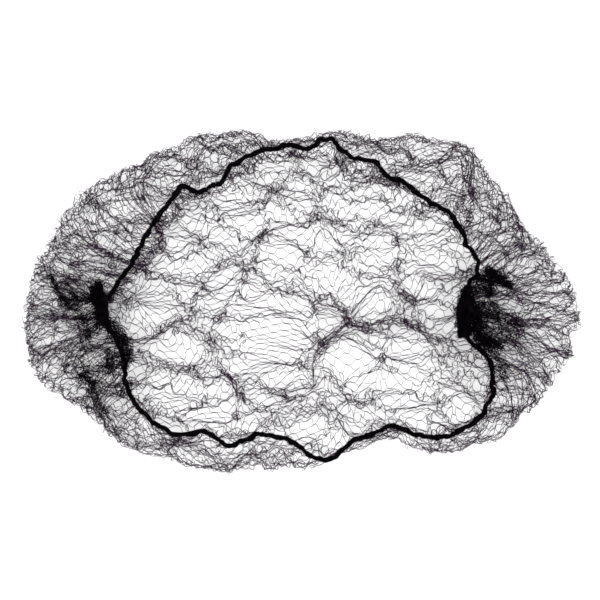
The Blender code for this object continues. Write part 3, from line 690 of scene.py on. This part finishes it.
def tube_mesh(name, runs, thickness):
    """One mesh of closed three-sided tubes along runs of points."""
    points = np.concatenate(runs)
    owner = np.repeat(np.arange(len(runs)), [len(run) for run in runs])
    last = np.append(owner[1:] != owner[:-1], True)
    first = np.append(True, last[:-1])
    ahead = unit(np.roll(points, -1, 0) - points)
    ahead[last] = 0
    behind = np.roll(ahead, 1, 0)
    heading = unit(ahead + behind)
    side = np.cross(heading, UP)
    side = unit(np.where(np.linalg.norm(side, axis=1)[:, None] < 0.05, (1.0, 0.0, 0.0), side))
    rise = np.cross(side, heading)
    turn = np.radians((90.0, 210.0, 330.0))
    half = np.asarray(thickness) / 2
    ring = np.cos(turn)[None, :, None] * side[:, None] + np.sin(turn)[None, :, None] * rise[:, None]
    places = points[:, None] + ring * (half if half.ndim == 0 else half[:, None, None])
    start = np.flatnonzero(~last)[:, None] * 3
    around = np.arange(3)[None, :]
    after = (around + 1) % 3
    quads = np.stack([start + around, start + 3 + around, start + 3 + after, start + after], 2)
    quads = quads.reshape(-1, 4)
    front = np.flatnonzero(first)[:, None] * 3 + np.array((0, 1, 2))
    back = np.flatnonzero(last)[:, None] * 3 + np.array((2, 1, 0))
    corners = np.concatenate([quads.ravel(), front.ravel(), back.ravel()]).astype(np.int32)
    caps = np.arange(len(front) + len(back)) * 3 + quads.size
    starts = np.concatenate([np.arange(len(quads)) * 4, caps]).astype(np.int32)
    mesh = bpy.data.meshes.new(name)
    mesh.vertices.add(places.size // 3)
    mesh.vertices.foreach_set("co", places.ravel())
    mesh.loops.add(len(corners))
    mesh.loops.foreach_set("vertex_index", corners)
    mesh.polygons.add(len(starts))
    mesh.polygons.foreach_set("loop_start", starts)
    mesh.polygons.foreach_set("use_smooth", np.ones(len(starts), bool))
    mesh.update(calc_edges=True)
    if mesh.validate():
        raise RuntimeError(f"the tubes of {name} have faults")
    return mesh


def add_piece(name, mesh, finish, node):
    """A finished piece in the scene, which rides on the frame and stands for its solid."""
    piece = bpy.data.objects.new(name, mesh)
    bpy.context.scene.collection.objects.link(piece)
    mesh.materials.clear()
    mesh.materials.append(finish)
    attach(piece, "root")
    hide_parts(node)


def bundle_runs(bundle, base, seed):
    """Thin curling strands that follow a bundle's route, each for a part of its way."""
    chance = np.random.default_rng(seed)
    x, y = on_table([stop[0] for stop in bundle.stops], [stop[1] for stop in bundle.stops])
    along = np.append(0, np.cumsum(np.hypot(np.diff(x), np.diff(y))))
    runs = []
    for _ in range(bundle.count):
        length = chance.uniform(3.0, 8.0) * MM
        middle = chance.uniform(-0.04, 1.04) * along[-1]
        way = middle + np.linspace(-0.5, 0.5, STRAND_STEPS) * min(length, along[-1])
        px, py = np.interp(way, along, x), np.interp(way, along, y)
        past = way - np.clip(way, 0, along[-1])
        dx, dy = np.gradient(px), np.gradient(py)
        size = np.maximum(np.hypot(dx, dy), TINY)
        dx, dy = dx / size, dy / size
        spread = bundle.width * MM / 2
        taper = 1 - 0.55 * abs(2 * middle / along[-1] - 1) ** 3
        offset = chance.normal(0, 0.50) * spread * taper
        lean = chance.normal(0, 0.65) * spread
        curl = chance.uniform(0.2, 0.9) * MM
        phase = chance.uniform(0, 6.3)
        strand = np.linspace(-0.5, 0.5, STRAND_STEPS)
        aside = offset + lean * 2 * strand + curl * np.sin(phase + strand * chance.uniform(5, 14))
        lift = chance.uniform(0, 1) * max(1 - (offset / spread) ** 2 * 0.6, 0.15)
        z = base + (bundle.low + (bundle.high - bundle.low) * lift) * MM
        z = z + 0.5 * curl * np.cos(phase + strand * chance.uniform(5, 12))
        runs.append(np.stack([px - dy * aside + dx * past, py + dx * aside + dy * past, z], 1))
    return runs


def lumpy_core(name, box, shrink, seed):
    """A closed puckered body inside a gather's solid."""
    shape = bmesh.new()
    bmesh.ops.create_icosphere(shape, subdivisions=4, radius=1.0)
    low, high = box
    middle, half = (low + high) / 2, (high - low) / 2
    for vertex in shape.verts:
        grain = noise.fractal(vertex.co * 3.2 + Vector((seed, 0, 0)), 1.0, 2.0, 4)
        vertex.co *= 1 + 0.22 * grain
    slim = 0.8
    size = Vector((half.x * shrink * slim, half.y * shrink, half.z * shrink * slim))
    bmesh.ops.scale(shape, vec=size, verts=shape.verts)
    bmesh.ops.translate(shape, vec=middle - Vector((0, 0, 0.3 * half.z)), verts=shape.verts)
    for face in shape.faces:
        face.smooth = True
    mesh = bpy.data.meshes.new(name)
    shape.to_mesh(mesh)
    shape.free()
    return mesh


def joined(name, meshes):
    """Several meshes as one."""
    shape = bmesh.new()
    for mesh in meshes:
        shape.from_mesh(mesh)
        bpy.data.meshes.remove(mesh)
    mesh = bpy.data.meshes.new(name)
    shape.to_mesh(mesh)
    shape.free()
    return mesh


def node_finish(name):
    """A material with its output, surface shader and coordinates in millimetres."""
    finish = bpy.data.materials.new(name)
    finish.use_nodes = True
    tree = finish.node_tree
    tree.nodes.clear()
    output = tree.nodes.new("ShaderNodeOutputMaterial")
    surface = tree.nodes.new("ShaderNodeBsdfPrincipled")
    tree.links.new(surface.outputs["BSDF"], output.inputs["Surface"])
    place = tree.nodes.new("ShaderNodeTexCoord")
    mapping = tree.nodes.new("ShaderNodeMapping")
    mapping.inputs["Scale"].default_value = (1000, 1000, 1000)
    tree.links.new(place.outputs["Object"], mapping.inputs["Vector"])
    return finish, tree, surface, mapping


def add_noise(tree, mapping, scale, detail):
    """Cloudy noise with a number of clouds to the millimetre."""
    grain = tree.nodes.new("ShaderNodeTexNoise")
    grain.inputs["Scale"].default_value = scale
    grain.inputs["Detail"].default_value = detail
    tree.links.new(mapping.outputs["Vector"], grain.inputs["Vector"])
    return grain.outputs["Fac"]


def add_colours(tree, source, dark, light, socket):
    """A blend from a dark to a light colour."""
    ramp = tree.nodes.new("ShaderNodeValToRGB")
    ramp.color_ramp.elements[0].position = 0.35
    ramp.color_ramp.elements[0].color = (*dark, 1)
    ramp.color_ramp.elements[1].position = 0.70
    ramp.color_ramp.elements[1].color = (*light, 1)
    tree.links.new(source, ramp.inputs["Fac"])
    tree.links.new(ramp.outputs["Color"], socket)


def add_range(tree, source, low, high, socket):
    """A value brought between a low and a high one."""
    reach = tree.nodes.new("ShaderNodeMapRange")
    reach.inputs["To Min"].default_value = low
    reach.inputs["To Max"].default_value = high
    tree.links.new(source, reach.inputs["Value"])
    tree.links.new(reach.outputs["Result"], socket)


def add_bump(tree, source, strength, depth, socket):
    """A fine relief of the surface."""
    bump = tree.nodes.new("ShaderNodeBump")
    bump.inputs["Strength"].default_value = strength
    bump.inputs["Distance"].default_value = depth
    tree.links.new(source, bump.inputs["Height"])
    tree.links.new(bump.outputs["Normal"], socket)


def thread_finish(name, settings, sheen, gloss, twist, strength):
    """Black twisted nylon: fine slanting plies, a faint sheen and slow changes of depth of colour."""
    finish, tree, surface, mapping = node_finish(name)
    add_colours(tree, add_noise(tree, mapping, 0.35, 4.0), settings.dark_colour, settings.light_colour,
                surface.inputs["Base Color"])
    add_range(tree, add_noise(tree, mapping, 5.0, 2.0), 0.42, 0.66, surface.inputs["Roughness"])
    plies = tree.nodes.new("ShaderNodeTexWave")
    plies.wave_type = "BANDS"
    plies.bands_direction = "DIAGONAL"
    plies.inputs["Scale"].default_value = twist
    plies.inputs["Distortion"].default_value = 2.5
    plies.inputs["Detail"].default_value = 2.0
    tree.links.new(mapping.outputs["Vector"], plies.inputs["Vector"])
    add_bump(tree, plies.outputs["Fac"], strength, 0.05 * MM, surface.inputs["Normal"])
    surface.inputs["IOR"].default_value = 1.3
    surface.inputs["Specular IOR Level"].default_value = gloss
    surface.inputs["Sheen Weight"].default_value = sheen
    surface.inputs["Sheen Roughness"].default_value = 0.5
    return finish


def floor_finish(colour):
    """Smooth matt white card with the faintest grain."""
    finish, tree, surface, mapping = node_finish("white_card")
    grain = add_noise(tree, mapping, 0.02, 3.0)
    dark = tuple(0.99 * value for value in colour)
    add_colours(tree, grain, dark, tuple(colour), surface.inputs["Base Color"])
    add_range(tree, grain, 0.75, 0.85, surface.inputs["Roughness"])
    surface.inputs["Specular IOR Level"].default_value = 0.1
    return finish


def length_property(name, text, default, most):
    """A setting in metres."""
    return bpy.props.FloatProperty(name=name, description=text, default=default, min=0.0, max=most,
                                   precision=5, unit="LENGTH")


def share_property(name, text, default, most=2.0):
    """A setting that is a plain number."""
    return bpy.props.FloatProperty(name=name, description=text, default=default, min=0.0, max=most)


def colour_property(name, text, default):
    """A setting that is a colour."""
    return bpy.props.FloatVectorProperty(name=name, description=text, default=default, size=3,
                                         min=0.0, max=1.0, subtype="COLOR")


class StageSettings(bpy.types.PropertyGroup):
    """The floor, the light and the camera."""
    floor_size: length_property("Floor size", "Side of the square floor", 6.0, 20.0)
    floor_colour: colour_property("Floor colour", "Colour of the floor", (0.93, 0.93, 0.93))
    sky_strength: share_property("Sky strength", "Strength of the even white light from all round", 1.50)
    lamp_power: share_property("Lamp power", "Power of the soft overhead lamp in watts", 10.0, 1000.0)
    camera_height: length_property("Camera height", "Height of the camera over the floor", 3.0, 20.0)
    view_width: length_property("View width", "Width that the camera takes in", PICTURE_SIDE * PIXEL, 1.0)


class NetSettings(bpy.types.PropertyGroup):
    """The knitted net and how it is crumpled."""
    mesh_length: length_property("Mesh length", "Length of one mesh along the hairnet", 0.0071, 0.02)
    mesh_height: length_property("Mesh height", "Height of one mesh across the hairnet", 0.0032, 0.02)
    knot_length: length_property("Knot length", "Length over which two threads run together", 0.0012, 0.005)
    thread_thickness: length_property("Thread thickness", "Thickness of the net's thread", 0.000195, 0.002)
    thread_spare: share_property("Thread spare", "Length of a thread over the mesh's own side", 1.14)
    slack_along: share_property("Slack along", "Flat length over the length that the net lies in", 1.34)
    slack_across: share_property("Slack across", "Flat width over the width that the net lies in", 2.09)
    crimp: length_property("Crimp", "How far the thread wanders between its knots", 0.00016, 0.002)
    edge_round: length_property("Edge rounding", "Depth of the net's turned outer edge", 0.0075, 0.02)
    fold_round: length_property("Fold rounding", "Depth of the folds of the turned side", 0.0025, 0.02)
    fold_height: length_property("Fold height", "Height of the turned side over the floor", 0.0104, 0.02)
    turned_share: share_property("Turned share", "Net in the turned side over the length of its way", 0.56)
    gather_squeeze: share_property("Gather squeeze", "How far the rim is drawn into the gathers", 0.52, 1.0)
    table_ripple: length_property("Table side ripple", "Strength of the table side's ripples", 0.0015, 0.01)
    top_ripple: length_property("Top side ripple", "Strength of the turned side's ripples", 0.0012, 0.01)
    row_bunching: length_property("Row bunching", "How far rows of meshes slip together", 0.0015, 0.01)
    end_wave: length_property("End wave", "Strength of the waves at the two ends", 0.0026, 0.01)
    ruffle: length_property("Ruffle", "How far the threads wander along a crease", 0.0005, 0.01)
    springiness: share_property("Springiness", "How far a flat thread pushes its knots apart", 0.12, 1.0)
    slip_rounds: bpy.props.IntProperty(name="Slip rounds", description="Rounds in which threads slip",
                                       default=90, min=1, max=500)
    dark_colour: colour_property("Dark colour", "Darker colour of the thread", (0.016, 0.004, 0.018))
    light_colour: colour_property("Light colour", "Lighter colour of the thread", (0.040, 0.014, 0.044))


class ElasticSettings(bpy.types.PropertyGroup):
    """The covered elastic."""
    thickness: length_property("Thickness", "Thickness of the covered elastic", 0.00215, 0.01)
    cover_thickness: length_property("Cover thread", "Thickness of the covering thread", 0.00036, 0.002)
    cover_pitch: length_property("Cover pitch", "Distance between turns of the cover", 0.0011, 0.01)
    knob: share_property("Knobs", "How far the cover swells at its stitches", 0.25, 1.0)
    waver: length_property("Waver", "How far the elastic wavers from its smooth route", 0.00036, 0.002)
    dark_colour: colour_property("Dark colour", "Darker colour of the cover", (0.0008, 0.0006, 0.0009))
    light_colour: colour_property("Light colour", "Lighter colour of the cover", (0.0030, 0.0024, 0.0032))


class GatherSettings(bpy.types.PropertyGroup):
    """The drawn-up bunches at the two ends. Their thread colours are the net's black thread darkened far
    past its own colour: painted shade of the dense bunches.
    """
    strand_thickness: length_property("Strand thickness", "Thickness of a drawn-up strand", 0.00021, 0.002)
    core_share: share_property("Core share", "Size of the puckered core inside each bunch", 0.55, 1.5)
    # Both bunch colours are painted shade: the same black thread as the net, set much darker for the shade
    # inside the dense bunches
    dark_colour: colour_property("Dark colour", "Darker colour of the bunches", (0.0008, 0.0006, 0.0009))
    light_colour: colour_property("Light colour", "Lighter colour of the bunches", (0.0070, 0.0050, 0.0080))


class HairnetSettings(bpy.types.PropertyGroup):
    """All sizes and colours of the hairnet and its stage."""
    stage: bpy.props.PointerProperty(type=StageSettings, name="Stage", description="Floor, light, camera")
    net: bpy.props.PointerProperty(type=NetSettings, name="Net", description="The knitted net")
    elastic: bpy.props.PointerProperty(type=ElasticSettings, name="Elastic", description="The elastic")
    gathers: bpy.props.PointerProperty(type=GatherSettings, name="Gathers", description="The bunches")


class HAIRNET_OT_set_stage(bpy.types.Operator):
    """Lays a plain pale floor, lights it softly and sets a camera straight above"""
    bl_idname = "hairnet.set_stage"
    bl_label = "Set Stage"

    def execute(self, context):
        stage = context.scene.hairnet.stage
        shape = bmesh.new()
        bmesh.ops.create_grid(shape, x_segments=1, y_segments=1, size=stage.floor_size / 2)
        mesh = bpy.data.meshes.new("floor")
        shape.to_mesh(mesh)
        shape.free()
        mesh.materials.append(floor_finish(stage.floor_colour))
        floor = bpy.data.objects.new("floor", mesh)
        context.scene.collection.objects.link(floor)
        world = bpy.data.worlds.new("white_studio")
        world.use_nodes = True
        sky = world.node_tree.nodes["Background"]
        sky.inputs["Color"].default_value = (1, 1, 1, 1)
        sky.inputs["Strength"].default_value = stage.sky_strength
        context.scene.world = world
        lamp = bpy.data.lights.new("soft_overhead", "AREA")
        lamp.shape = "DISK"
        lamp.size = 2.4
        lamp.energy = stage.lamp_power
        overhead = bpy.data.objects.new("soft_overhead", lamp)
        overhead.location = (-0.5, 0.6, 2.2)
        overhead.rotation_euler = (-Vector(overhead.location)).to_track_quat("-Z", "Y").to_euler()
        context.scene.collection.objects.link(overhead)
        camera_data = bpy.data.cameras.new("camera")
        edge_height = 8 * MM
        distance = stage.camera_height - edge_height
        camera_data.lens = camera_data.sensor_width * distance / stage.view_width
        camera_data.clip_start = 0.01
        camera_data.clip_end = 50.0
        camera = bpy.data.objects.new("camera", camera_data)
        middle = on_table(PICTURE_SIDE / 2, PICTURE_SIDE / 2)
        camera.location = (float(middle[0]), float(middle[1]), stage.camera_height)
        context.scene.collection.objects.link(camera)
        context.scene.camera = camera
        context.scene.view_settings.view_transform = "Standard"
        return {"FINISHED"}


class HAIRNET_OT_lay_net(bpy.types.Operator):
    """Knits the net's threads and lays them, crumpled, from the table side round to the elastic"""
    bl_idname = "hairnet.lay_net"
    bl_label = "Lay Net"

    def execute(self, context):
        net = context.scene.hairnet.net
        finish = thread_finish("black_nylon_thread", net, sheen=0.02, gloss=0.06, twist=3.2, strength=0.35)
        runs = thread_rows(NetPath(net), net)
        for name, own in zip(NET_PIECES, runs):
            mesh = tube_mesh(name, own, net.thread_thickness)
            add_piece(name, mesh, finish, "net")
        return {"FINISHED"}


class HAIRNET_OT_lay_elastic(bpy.types.Operator):
    """Lays the covered elastic and winds its covering thread"""
    bl_idname = "hairnet.lay_elastic"
    bl_label = "Lay Elastic"

    def execute(self, context):
        elastic = context.scene.hairnet.elastic
        x, y = elastic_route(ELASTIC_STEPS)
        z = elastic_height(np.degrees(np.arctan2(y, x)) % 360)
        chance = np.random.default_rng(21)
        for values in (x, y):
            values += elastic.waver * smoothed_loop(chance.normal(0, 1, ELASTIC_STEPS), 2.5) * 3.0
        curve = bpy.data.curves.new("elastic_route", "CURVE")
        curve.dimensions = "3D"
        curve.bevel_depth = elastic.thickness / 2 * 0.80
        curve.bevel_resolution = 3
        spline = curve.splines.new("POLY")
        spline.points.add(ELASTIC_STEPS - 1)
        spline.points.foreach_set("co", np.stack([x, y, z, np.ones(ELASTIC_STEPS)], 1).ravel())
        chance = np.random.default_rng(3)
        uneven = 2.0 * smoothed_loop(chance.normal(0, 1, ELASTIC_STEPS), 1.4)
        stitches = 0.5 * np.sin(np.arange(ELASTIC_STEPS) * 2 * math.pi / 5.5)
        swell = np.clip(1 + elastic.knob * (uneven + stitches), 0.6, 1.5)
        spline.points.foreach_set("radius", swell)
        spline.use_cyclic_u = True
        spline.use_smooth = True
        route = bpy.data.objects.new("elastic_route", curve)
        context.scene.collection.objects.link(route)
        core = bpy.data.meshes.new_from_object(route)
        bpy.data.objects.remove(route)
        bpy.data.curves.remove(curve)
        cover = tube_mesh("cover", self.cover_runs(elastic, x, y, z), elastic.cover_thickness)
        mesh = joined("elastic_cover", [core, cover])
        finish = thread_finish("black_covered_elastic", elastic, sheen=0.0, gloss=0.005, twist=1.6,
                               strength=0.5)
        add_piece("elastic_cover", mesh, finish, "elastic_loop")
        return {"FINISHED"}

    def cover_runs(self, elastic, x, y, z):
        """Two covering threads wound round the elastic, in stretches."""
        route = np.stack([x, y, z], 1)
        heading = unit(np.roll(route, -1, 0) - np.roll(route, 1, 0))
        side = unit(np.cross(heading, UP))
        rise = np.cross(side, heading)
        step = np.linalg.norm(np.diff(route, axis=0), axis=1).mean()
        total = int(len(route) * step / elastic.cover_pitch) * COVER_STEPS
        place = np.linspace(0, len(route), total + 1)
        whole = np.minimum(place.astype(int), len(route) - 1)
        chance = np.random.default_rng(8)
        wobble = smoothed_loop(chance.normal(0, 1, total + 1), 4)
        radius = elastic.thickness / 2 * (0.84 + 0.34 * wobble)
        runs = []
        for start in (0, math.pi):
            turn = start + np.arange(total + 1) * 2 * math.pi / COVER_STEPS + 1.5 * wobble
            ring = np.cos(turn)[:, None] * side[whole] + np.sin(turn)[:, None] * rise[whole]
            onward = heading[whole] * ((place - whole) * step)[:, None]
            points = route[whole] + ring * radius[:, None] + onward
            runs.extend(np.array_split(points, 40))
        return runs


class HAIRNET_OT_draw_gathers(bpy.types.Operator):
    """Draws the net's ends up into dense bunches of strands on the elastic"""
    bl_idname = "hairnet.draw_gathers"
    bl_label = "Draw Gathers"

    def execute(self, context):
        gathers = context.scene.hairnet.gathers
        # The bunches' material is the net's thread with painted shade: its colours are far darker than the
        # net thread's own
        finish = thread_finish("gathered_thread_painted_shade", gathers, sheen=0.0, gloss=0.005, twist=2.2,
                               strength=0.45)
        for side, bundles, seed in (("left", LEFT_BUNDLES, 100), ("right", RIGHT_BUNDLES, 200)):
            node = side + "_gather"
            low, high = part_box(node)
            core = lumpy_core("core", (low, high), gathers.core_share, seed)
            runs = []
            for number, bundle in enumerate(bundles):
                runs.extend(bundle_runs(bundle, low.z, seed + number))
            strands = tube_mesh("strands", runs, gathers.strand_thickness)
            mesh = joined(side + "_bunch", [core, strands])
            add_piece(side + "_bunch", mesh, finish, node)
        return {"FINISHED"}


class HAIRNET_PT_sidebar(bpy.types.Panel):
    """Lists the settings and the steps that build the hairnet"""
    bl_idname = "HAIRNET_PT_sidebar"
    bl_label = "Hairnet"
    bl_space_type = "VIEW_3D"
    bl_region_type = "UI"
    bl_category = "Hairnet"

    def draw(self, context):
        settings = context.scene.hairnet
        parts = (
            (settings.stage, HAIRNET_OT_set_stage),
            (settings.net, HAIRNET_OT_lay_net),
            (settings.elastic, HAIRNET_OT_lay_elastic),
            (settings.gathers, HAIRNET_OT_draw_gathers),
        )
        for group, operator in parts:
            box = self.layout.box()
            for name in group.__annotations__:
                box.prop(group, name)
            box.operator(operator.bl_idname)


CLASSES = (
    StageSettings, NetSettings, ElasticSettings, GatherSettings, HairnetSettings,
    HAIRNET_OT_set_stage, HAIRNET_OT_lay_net, HAIRNET_OT_lay_elastic, HAIRNET_OT_draw_gathers,
    HAIRNET_PT_sidebar,
)


def register():
    """Makes the settings, the steps and the panel known."""
    for own in CLASSES:
        bpy.utils.register_class(own)
    bpy.types.Scene.hairnet = bpy.props.PointerProperty(type=HairnetSettings, name="Hairnet",
                                                        description="Sizes and colours of the hairnet")


def unregister():
    """Takes them away again."""
    del bpy.types.Scene.hairnet
    for own in reversed(CLASSES):
        bpy.utils.unregister_class(own)


def main():
    """Builds the whole scene."""
    register()
    bpy.ops.hairnet.set_stage()
    bpy.ops.hairnet.lay_net()
    bpy.ops.hairnet.lay_elastic()
    bpy.ops.hairnet.draw_gathers()


if __name__ == "__main__":
    main()
